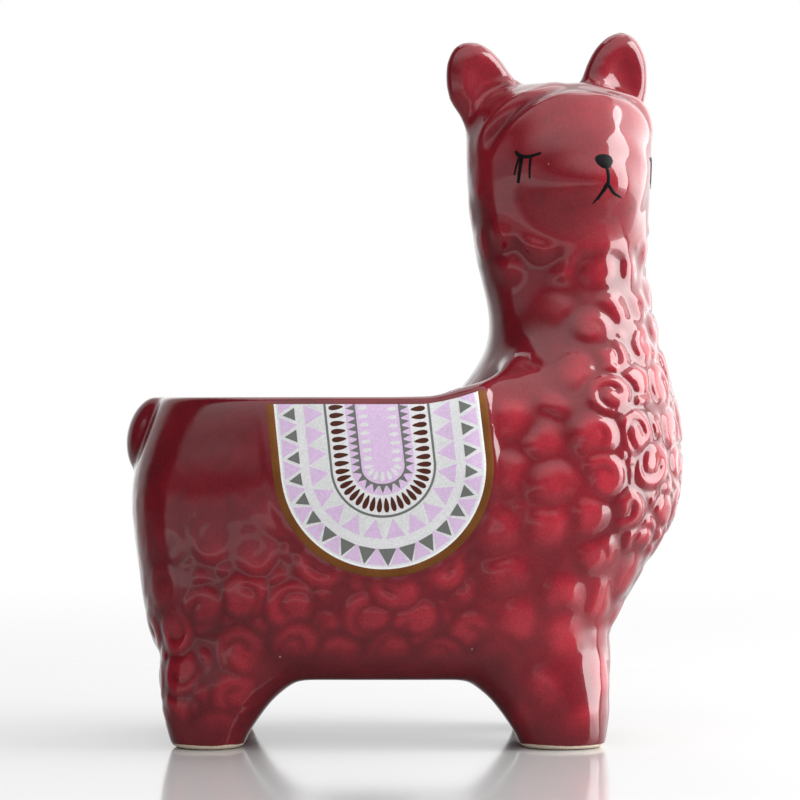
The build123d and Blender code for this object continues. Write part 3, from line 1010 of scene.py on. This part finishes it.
def motif_row_tree():
    """Geometry nodes: one motif repeated evenly along a line, its tip turned to one side of it."""
    tree = bpy.data.node_groups.new("MotifRow", "GeometryNodeTree")
    sockets = tree.interface
    sockets.new_socket("Line", in_out="INPUT", socket_type="NodeSocketGeometry")
    for label, kind in (
        ("Count", "NodeSocketInt"), ("Phase", "NodeSocketInt"), ("Width", "NodeSocketFloat"),
        ("Height", "NodeSocketFloat"), ("Swell", "NodeSocketFloat"), ("Facing", "NodeSocketFloat"),
        ("Shift", "NodeSocketFloat"), ("Motif", "NodeSocketObject"), ("Ink", "NodeSocketMaterial"),
    ):
        sockets.new_socket(label, in_out="INPUT", socket_type=kind)
    sockets.new_socket("Row", in_out="OUTPUT", socket_type="NodeSocketGeometry")
    nodes = Nodes(tree)
    inlet = nodes.add("NodeGroupInput").outputs
    doubled = nodes.math("MULTIPLY_ADD", inlet["Count"], 2.0, 1.0)
    evenly = nodes.add("GeometryNodeResampleCurve", {"Curve": inlet["Line"], "Count": doubled})
    tangent = nodes.add("GeometryNodeInputTangent").outputs["Tangent"]
    inward = nodes.vector("CROSS_PRODUCT", {0: (0.0, 0.0, 1.0), 1: tangent})
    facing = nodes.vector("SCALE", {0: inward, "Scale": inlet["Facing"]})
    aside = nodes.vector("SCALE", {0: inward, "Scale": inlet["Shift"]})
    moved = nodes.add("GeometryNodeSetPosition", {"Geometry": evenly.outputs["Curve"], "Offset": aside})
    align = {"axis": "Y", "pivot_axis": "Z"}
    rotation = nodes.add("FunctionNodeAlignRotationToVector", {"Vector": facing}, **align)
    index = nodes.add("GeometryNodeInputIndex").outputs["Index"]
    shifted = nodes.math("ADD", index, inlet["Phase"])
    chosen = nodes.math("MODULO", shifted, 2.0)
    along = nodes.add("GeometryNodeSplineParameter").outputs["Factor"]
    arc = nodes.math("SINE", nodes.math("MULTIPLY", along, math.pi))
    swell = nodes.math("MULTIPLY_ADD", nodes.math("POWER", arc, 6.0), inlet["Swell"], 1.0)
    width = nodes.math("MULTIPLY", inlet["Width"], swell)
    height = nodes.math("MULTIPLY", inlet["Height"], swell)
    size = nodes.add("ShaderNodeCombineXYZ", {"X": width, "Y": height, "Z": 1.0})
    motif = nodes.add("GeometryNodeObjectInfo", {"Object": inlet["Motif"]})
    copies = nodes.add("GeometryNodeInstanceOnPoints", {
        "Points": moved.outputs["Geometry"], "Selection": chosen, "Instance": motif.outputs["Geometry"],
        "Rotation": rotation.outputs["Rotation"], "Scale": size.outputs["Vector"],
    })
    real = nodes.add("GeometryNodeRealizeInstances", {"Geometry": copies.outputs["Instances"]})
    ink = {"Geometry": real.outputs["Geometry"], "Material": inlet["Ink"]}
    inked = nodes.add("GeometryNodeSetMaterial", ink)
    nodes.add("NodeGroupOutput", {"Row": inked.outputs["Geometry"]})
    return tree


def motif_row(tree, inset, inputs):
    """One row of motifs in side view, as points and faces."""
    line = bpy.data.curves.new("row", "CURVE")
    line.dimensions = "3D"
    spline = line.splines.new("POLY")
    path = blanket_line(inset)
    spline.points.add(len(path) - 1)
    for point, (x, z) in zip(spline.points, path):
        point.co = (x, z, 0.0, 1.0)
    carrier = linked("row", line)
    modifier = carrier.modifiers.new("row", "NODES")
    modifier.node_group = tree
    for item in tree.interface.items_tree:
        if item.name in inputs:
            modifier[item.identifier] = inputs[item.name]
    mesh = evaluated_mesh(carrier, "row")
    points = [(v.co.x, v.co.y) for v in mesh.vertices]
    faces = [list(p.vertices) for p in mesh.polygons]
    bpy.data.objects.remove(carrier)
    bpy.data.curves.remove(line)
    bpy.data.meshes.remove(mesh)
    if not faces:
        raise RuntimeError("a row of the print came out empty")
    return np.array(points), faces


def blanket_layers():
    """Every printed layer in side view: points, faces, ink and lift, from the ground upwards."""
    blanket = settings().blanket
    ground, lilac, grey, pale, brown, white = range(6)
    middle = blanket_radius() / MM
    edge = blanket.gold_width / MM
    tree = motif_row_tree()
    tooth = motif_object("motif_tooth", triangle_motif())
    drop = motif_object("motif_drop", drop_motif(0.55))
    petal = motif_object("motif_petal", drop_motif(0.3))
    inks = blanket_inks()
    low, mid, high = 0.045 * MM, 0.065 * MM, 0.085 * MM
    layers = []

    def strip(ink, lift, first, last, steps=1):
        points, faces = band(first * MM, last * MM, steps)
        layers.append((points, faces, ink, lift))

    def row(motif, ink, lift, inset, count, width, height, facing=INWARD, shift=0.0, phase=0, swell=0.0):
        points, faces = motif_row(tree, inset * MM, {
            "Count": count, "Phase": phase, "Width": width * MM, "Height": height * MM, "Swell": swell,
            "Facing": facing, "Shift": shift * MM, "Motif": motif, "Ink": inks[ink],
        })
        top = blanket_top(points[:, 0])
        over = points[:, 1] >= top
        points[:, 1] = np.minimum(points[:, 1], top)
        layers.append((points, [f for f in faces if not over[f].all()], ink, lift))

    strip(ground, low, edge - 0.2, middle, 18)
    strip(white, mid, edge - 0.1, edge + 0.32)
    row(tooth, grey, high, 4.3, 19, 2.7, 2.6, OUTWARD, shift=1.6, swell=0.4)
    row(tooth, lilac, mid, 4.3, 19, 3.9, 3.7, shift=-1.8, phase=1)
    row(tooth, lilac, mid, 10.0, 16, 4.2, 3.9, shift=-2.1)
    row(tooth, pale, high, 10.0, 16, 3.3, 3.4, OUTWARD, shift=2.0, phase=1)
    strip(grey, mid, 12.1, 12.6)
    row(drop, brown, mid, 13.1, 34, 1.45, 3.1)
    strip(lilac, mid, 16.55, middle, 5)
    row(tooth, grey, high, 18.45, 27, 1.25, 1.75, OUTWARD)
    strip(grey, high, 18.3, 18.7)
    row(petal, pale, high, 19.2, 21, 1.0, 2.0)
    for motif in (tooth, drop, petal):
        mesh = motif.data
        bpy.data.objects.remove(motif)
        bpy.data.meshes.remove(mesh)
    return layers, inks


def blanket_inks():
    blanket = settings().blanket
    named = (
        ("print_ground", blanket.ground), ("print_lilac", blanket.lilac), ("print_grey", blanket.grey),
        ("print_pale", blanket.pale), ("print_brown", blanket.brown), ("print_white", blanket.white),
    )
    return [bpy.data.materials.get(name) or ink_material(name, value) for name, value in named]


def gold_edge(side, surface, material):
    """The gold line round the print, a little thicker along its middle."""
    name = "gold_right" if side < 0 else "gold_left"
    steps = 5
    points, faces = band(0.0, settings().blanket.gold_width, steps)
    across = np.repeat(np.linspace(0, 1, steps + 1), len(points) // (steps + 1))
    lift = (0.05 + 0.05 * np.sin(math.pi * across) ** 0.5) * MM
    edge = mesh_object(name, laid(points, lift, side, surface), outwards(faces, side), [material])
    return thickened(edge, 1.4 * FILM)


class PLANTER_OT_blanket(bpy.types.Operator):
    """Printed saddle blankets with their gold edges, one on each flank"""

    bl_idname = "planter.blanket"
    bl_label = "Saddle blankets"

    def execute(self, context):
        surface = surface_tree(bpy.data.objects["woolly_body"])
        layers, inks = blanket_layers()
        gold = gold_material()
        for side, hand in ((-1, "right"), (1, "left")):
            parts = [(laid(p, lift, side, surface), outwards(f, side)) for p, f, _, lift in layers]
            face_inks = [ink for _, faces, ink, _ in layers for _ in faces]
            print_piece = mesh_object(f"blanket_print_{hand}", *joined(parts), inks, face_inks)
            merge_points(print_piece.data)
            thickened(print_piece, FILM)
            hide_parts(f"blanket_{hand}")
            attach(print_piece, "pot")
            edge = gold_edge(side, surface, gold)
            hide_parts(f"blanket_edge_{hand}")
            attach(edge, "pot")
        return {"FINISHED"}


# The painted face

EYE_TURN_RIGHT = math.radians(45.0)
EYE_TURN_LEFT = math.radians(62.0)
EYE_HEIGHT = 127.1 * MM
NOSE_TURN = FACE_TURN - math.radians(2.0)
NOSE_HEIGHT = 125.3 * MM
NOSE_WIDTH = 3.95 * MM
NOSE_DEPTH = 3.2 * MM
PAINT = 0.14 * MM
BRUSH_START = 60 * MM
LID = ((-2.65, 0.75), (-1.45, -0.25), (0.95, -0.55), (3.75, 0.1))
LASHES = (
    (((-1.6, -0.5), (-2.3, -2.4), (-2.93, -4.4)), 0.62),
    (((-0.9, -0.5), (-1.4, -3.2), (-1.95, -6.1)), 1.02),
    (((1.4, -0.5), (1.15, -2.8), (1.05, -5.3)), 0.64),
)
MOUTH = (
    (((0.25, -1.2), (0.45, -3.2), (0.34, -5.1)), 0.82, 1.0),
    (((0.36, -4.6), (-0.75, -6.6), (-2.3, -9.1)), 1.05, 0.25),
    (((0.10, -5.4), (-0.95, -7.2), (-1.35, -8.3)), 0.55, 0.3),
    (((0.30, -5.0), (1.97, -6.85), (4.1, -7.75)), 0.88, 0.3),
)


def on_face(turn, height, flat, lift, surface):
    """A point painted flat before the face at some turn and height, laid on it."""
    out = Vector((math.cos(turn), math.sin(turn), 0))
    right = Vector((-math.sin(turn), math.cos(turn), 0))
    start = Vector((NECK_AXIS, 0, height + flat[1])) + right * flat[0] + out * BRUSH_START
    hit, normal, _, _ = surface.ray_cast(start, -out)
    if hit is None:
        raise RuntimeError("a brush mark misses the face")
    return hit + normal * lift


def curve_through(points, steps):
    """A smooth line through points, as a Catmull-Rom curve."""
    p = np.array(points, float)
    p = np.concatenate([[2 * p[0] - p[1]], p, [2 * p[-1] - p[-2]]])
    line = []
    for a, b, c, d in zip(p, p[1:], p[2:], p[3:]):
        for t in np.linspace(0, 1, steps, endpoint=False):
            line.append(0.5 * (2 * b + (c - a) * t + (2 * a - 5 * b + 4 * c - d) * t ** 2
                               + (3 * b - a - 3 * c + d) * t ** 3))
    return np.array(line + [p[-2]])


def brush_stroke(points, width, tip, turn, height, mirror, surface):
    """A domed ribbon of enamel, drawn out towards its end to a tip that is some share of its width."""
    line = curve_through(points, 8) * MM
    line[:, 0] *= mirror
    along = np.gradient(line, axis=0)
    along /= np.linalg.norm(along, axis=1)[:, None]
    across = np.stack([along[:, 1], -along[:, 0]], 1)
    t = np.linspace(0, 1, len(line))
    half = 0.5 * width * MM * (1 - (1 - tip) * t ** 1.5) * np.minimum(1, 0.55 + 4 * t)
    columns = np.linspace(-1, 1, 7)
    result = []
    for p, n, h in zip(line, across, half):
        for c in columns:
            lift = PAINT * (0.25 + 0.75 * math.sqrt(1 - c * c))
            result.append(on_face(turn, height, p + n * h * c, lift, surface))
    return result, grid_faces(len(line), len(columns))


def nose_patch(surface):
    """The nose: a rounded triangle of thick enamel."""
    rings, steps = 6, 40
    points = [on_face(NOSE_TURN, NOSE_HEIGHT, (0, 0), 0.32 * MM, surface)]
    for ring in range(1, rings + 1):
        r = ring / rings
        for i in range(steps):
            t = 2 * math.pi * i / steps
            round_off = 1 - 0.06 * math.cos(3 * (t - math.pi / 2)) * r
            across = 0.5 * NOSE_WIDTH * r * round_off * math.cos(t)
            up = 0.5 * NOSE_DEPTH * r * round_off * math.sin(t)
            lift = (0.04 + 0.28 * (1 - r ** 2.5)) * MM
            points.append(on_face(NOSE_TURN, NOSE_HEIGHT, (across, up), lift, surface))
    faces = [[0, 1 + i, 1 + (i + 1) % steps] for i in range(steps)]
    for ring in range(rings - 1):
        a, b = 1 + ring * steps, 1 + (ring + 1) * steps
        faces += [[a + i, b + i, b + (i + 1) % steps, a + (i + 1) % steps] for i in range(steps)]
    return points, faces


def painted_piece(name, parts, material):
    """Brush marks as one film of enamel, all its faces turned away from the neck's axis."""
    piece = mesh_object(name, *joined(parts), [material])
    shell = bmesh.new()
    shell.from_mesh(piece.data)
    for face in shell.faces:
        middle = face.calc_center_median()
        if face.normal.dot(middle - Vector((NECK_AXIS, 0, middle.z))) < 0:
            face.normal_flip()
    shell.to_mesh(piece.data)
    shell.free()
    return thickened(piece, 1.3 * PAINT)


class PLANTER_OT_face(bpy.types.Operator):
    """Painted eyes, nose and mouth"""

    bl_idname = "planter.face"
    bl_label = "Painted face"

    def execute(self, context):
        surface = surface_tree(bpy.data.objects["woolly_head"])
        enamel = enamel_material()
        made = []
        for hand, mirror, away in (("right", 1.0, EYE_TURN_RIGHT), ("left", -1.0, EYE_TURN_LEFT)):
            turn = FACE_TURN - mirror * away
            parts = [brush_stroke(LID, 0.95, 0.6, turn, EYE_HEIGHT, mirror, surface)]
            for points, width in LASHES:
                parts.append(brush_stroke(points, width, 0.7, turn, EYE_HEIGHT, mirror, surface))
            made.append((painted_piece(f"eye_{hand}", parts, enamel), f"lashes_{hand}"))
        made.append((painted_piece("painted_nose", [nose_patch(surface)], enamel), "nose"))
        parts = [brush_stroke(p, w, tip, NOSE_TURN, NOSE_HEIGHT, 1.0, surface) for p, w, tip in MOUTH]
        made.append((painted_piece("painted_mouth", parts, enamel), "mouth"))
        for piece, node in made:
            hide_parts(node)
            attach(piece, "pot")
        return {"FINISHED"}


# The drain plug

def rounded_profile(corners, steps=5):
    """A profile of (radius, height, rounding) corners, each cut back and bent round."""
    points = []
    for i, (r, z, round_off) in enumerate(corners):
        here = np.array((r, z))
        if round_off == 0:
            points.append(here)
            continue
        before, after = np.array(corners[i - 1][:2]), np.array(corners[i + 1][:2])
        first = here + (before - here) / np.linalg.norm(before - here) * round_off
        last = here + (after - here) / np.linalg.norm(after - here) * round_off
        for t in np.linspace(0, 1, steps):
            points.append((1 - t) ** 2 * first + 2 * t * (1 - t) * here + t ** 2 * last)
    return points


class PLANTER_OT_plug(bpy.types.Operator):
    """Rubber drain plug under the belly"""

    bl_idname = "planter.plug"
    bl_label = "Drain plug"

    def execute(self, context):
        low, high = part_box("drain_plug")
        middle = (low + high) / 2
        flange = (high.x - low.x) / 2
        seat = low.z + 3.8 * MM
        root, tip, grip = 4.92 * MM, 4.67 * MM, 3.0 * MM
        under = seat - 1.6 * MM
        corners = [
            (0, high.z, 0), (tip * 0.55, high.z, 0), (tip * 0.62, high.z - 0.5 * MM, 0.2 * MM),
            (tip - 0.9 * MM, high.z - 0.5 * MM, 0.2 * MM), (tip - 0.4 * MM, high.z, 0.15 * MM),
            (tip, high.z, 0.3 * MM), (root, seat, 0.2 * MM),
            (flange, seat, 0.5 * MM), (flange, under, 0.6 * MM),
            (grip * 1.05, under, 0.8 * MM), (grip * 0.82, (under + low.z) / 2, 0.6 * MM),
            (grip, low.z + 0.7 * MM, 0.4 * MM), (grip, low.z, 0.6 * MM), (0, low.z, 0),
        ]
        profile = rounded_profile(corners)
        rows, steps = len(profile), 72
        points, faces = [], []
        for i in range(steps):
            t = 2 * math.pi * i / steps
            points += [(middle.x + r * math.cos(t), middle.y + r * math.sin(t), z) for r, z in profile]
            here, there = i * rows, (i + 1) % steps * rows
            faces += [(here + j, here + j + 1, there + j + 1, there + j) for j in range(rows - 1)]
        piece = mesh_object("rubber_plug", points, faces, [rubber_material()])
        merge_points(piece.data, turn_out=True)
        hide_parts("drain_plug")
        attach(piece, "plug")
        return {"FINISHED"}


# The stage

LAMP_AIM = Vector((0.0, 0.0, 0.075))
TABLE_HALF = 6.0


def area_light(name, place, size, watts, gloss=True):
    """A softbox that faces the pot; without gloss it lights the pot but isn't mirrored in its glaze."""
    lamp = bpy.data.lights.new(name, "AREA")
    lamp.shape = "RECTANGLE"
    lamp.size, lamp.size_y = size
    lamp.energy = watts
    piece = linked(name, lamp)
    piece.visible_camera = False
    piece.visible_glossy = gloss
    piece.location = place
    piece.rotation_euler = (LAMP_AIM - Vector(place)).to_track_quat("-Z", "Y").to_euler()


def studio_world():
    """A white backdrop behind and on the right, a grey room in front, and a dark gap on the left."""
    stage = settings().stage
    world = bpy.data.worlds.new("studio")
    world.use_nodes = True
    world.node_tree.nodes.clear()
    nodes = Nodes(world.node_tree)
    way = nodes.add("ShaderNodeTexCoord").outputs["Generated"]
    parts = nodes.add("ShaderNodeSeparateXYZ", {"Vector": way}).outputs
    right = nodes.fade(parts["X"], -0.25, 0.35)
    back = nodes.math("MULTIPLY_ADD", right, 0.60, parts["Y"])
    behind = nodes.fade(back, 0.78, 0.98)
    ahead = nodes.math("MULTIPLY_ADD", right, -0.35, parts["Y"])
    front = nodes.fade(ahead, 0.0, -0.12)
    gap = nodes.mix(nodes.fade(parts["Y"], 0.42, 0.66), neutral(0.04), neutral(0.45))
    horizon = nodes.fade(parts["Z"], 0.24, 0.06)
    above = nodes.fade(parts["Z"], 0.25, 0.75)
    low = nodes.mix(horizon, rgba(stage.room), rgba(stage.horizon))
    low = nodes.mix(nodes.fade(parts["X"], 0.06, 0.50), low, rgba(stage.room_right))
    light = nodes.mix(above, low, rgba(stage.room_top))
    room = nodes.mix(front, gap, light)
    dim = nodes.mix(behind, room, neutral(0.8))
    rays = nodes.add("ShaderNodeLightPath").outputs
    mirrored = nodes.math("MAXIMUM", rays["Is Glossy Ray"], rays["Is Transmission Ray"])
    backdrop = nodes.math("MAXIMUM", rays["Is Camera Ray"], nodes.math("MULTIPLY", mirrored, behind))
    hue = nodes.mix(backdrop, dim, neutral(1.0))
    background = nodes.add("ShaderNodeBackground", {"Color": hue, "Strength": 1.0})
    nodes.add("ShaderNodeOutputWorld", {"Surface": background.outputs[0]})
    bpy.context.scene.world = world


def floor_material():
    """A polished pale table that fades into the white backdrop and looks darker where it is mirrored."""
    stage = settings().stage
    material, nodes = new_material("pale_table")
    coordinates = nodes.add("ShaderNodeTexCoord").outputs["Object"]
    away = nodes.add("ShaderNodeVectorMath", {0: coordinates}, operation="LENGTH").outputs["Value"]
    rays = nodes.add("ShaderNodeLightPath").outputs
    mirrored = nodes.math("MAXIMUM", rays["Is Glossy Ray"], rays["Is Transmission Ray"])
    far = nodes.math("MULTIPLY", nodes.fade(away, 0.18, 0.60), rays["Is Camera Ray"])
    way = nodes.vector("NORMALIZE", {0: coordinates})
    parts = nodes.add("ShaderNodeSeparateXYZ", {"Vector": way}).outputs
    front = nodes.math("MULTIPLY", nodes.fade(parts["Y"], 0.0, -0.12), nodes.fade(parts["X"], 0.55, 0.0))
    lit = nodes.math("MAXIMUM", front, nodes.fade(parts["Y"], 0.78, 0.98))
    beyond = nodes.math("MULTIPLY", nodes.fade(away, 0.40, 0.90), mirrored)
    white = nodes.math("MAXIMUM", far, nodes.math("MULTIPLY", beyond, lit))
    hue = nodes.mix(mirrored, rgba(stage.floor), rgba(stage.floor_shade))
    table = nodes.add("ShaderNodeBsdfPrincipled", {"Base Color": hue, "Roughness": 0.10})
    glow = nodes.add("ShaderNodeEmission", {"Color": neutral(1.0), "Strength": 1.0})
    mixed = nodes.add("ShaderNodeMixShader", {"Fac": white, 1: table.outputs[0], 2: glow.outputs[0]})
    closed(nodes, mixed)
    return material


class PLANTER_OT_stage(bpy.types.Operator):
    """Camera, lamps, backdrop and table"""

    bl_idname = "planter.stage"
    bl_label = "Stage"

    def execute(self, context):
        stage = settings().stage
        scene = context.scene
        scene.view_settings.view_transform = "Standard"
        corners = [(TABLE_HALF * x, TABLE_HALF * y, 0) for x, y in ((-1, -1), (1, -1), (1, 1), (-1, 1))]
        floor = mesh_object("table", corners, [(0, 1, 2, 3)], [floor_material()])
        studio_world()
        area_light("key_right", (0.50, -0.045, 0.24), (0.3, 0.6), stage.key)
        area_light("side_soft", (0.55, -0.20, 0.32), (0.4, 0.6), stage.side, gloss=False)
        area_light("rim_right", (0.42, 0.30, 0.25), (0.4, 0.7), stage.rim)
        area_light("front_soft", (0.10, -0.85, 0.55), (0.8, 0.6), stage.front, gloss=False)
        area_light("back_soft", (-0.20, 0.85, 0.55), (0.8, 0.6), stage.back, gloss=False)
        area_light("top_soft", (0.0, 0.35, 0.90), (0.7, 0.5), stage.top)
        lens = bpy.data.cameras.new("camera")
        lens.lens = lens.sensor_width * stage.distance / stage.view_width
        camera = linked("camera", lens)
        camera.location = (stage.camera_x, -stage.distance, stage.camera_height)
        camera.rotation_euler = (math.pi / 2, 0, 0)
        scene.camera = camera
        return {"FINISHED"}


class PLANTER_PT_panel(bpy.types.Panel):
    """Lists the steps that build the planter"""

    bl_label = "Llama planter"
    bl_idname = "PLANTER_PT_panel"
    bl_space_type = "VIEW_3D"
    bl_region_type = "UI"
    bl_category = "Planter"

    def draw(self, context):
        for step in STEPS:
            self.layout.operator(step.bl_idname)
        for group in ("wool", "glaze", "blanket", "stage"):
            box = self.layout.box()
            values = getattr(context.scene.planter, group)
            for name in values.__annotations__:
                box.prop(values, name)


STEPS = (PLANTER_OT_body, PLANTER_OT_blanket, PLANTER_OT_face, PLANTER_OT_plug, PLANTER_OT_stage)
GROUPS = (WoolSettings, GlazeSettings, BlanketSettings, StageSettings, PlanterSettings)
CLASSES = GROUPS + STEPS + (PLANTER_PT_panel,)


def register():
    for entry in CLASSES:
        bpy.utils.register_class(entry)
    bpy.types.Scene.planter = PointerProperty(type=PlanterSettings)


def unregister():
    del bpy.types.Scene.planter
    for entry in reversed(CLASSES):
        bpy.utils.unregister_class(entry)


def main():
    register()
    bpy.ops.planter.body()
    bpy.ops.planter.blanket()
    bpy.ops.planter.face()
    bpy.ops.planter.plug()
    bpy.ops.planter.stage()


if __name__ == "__main__":
    main()
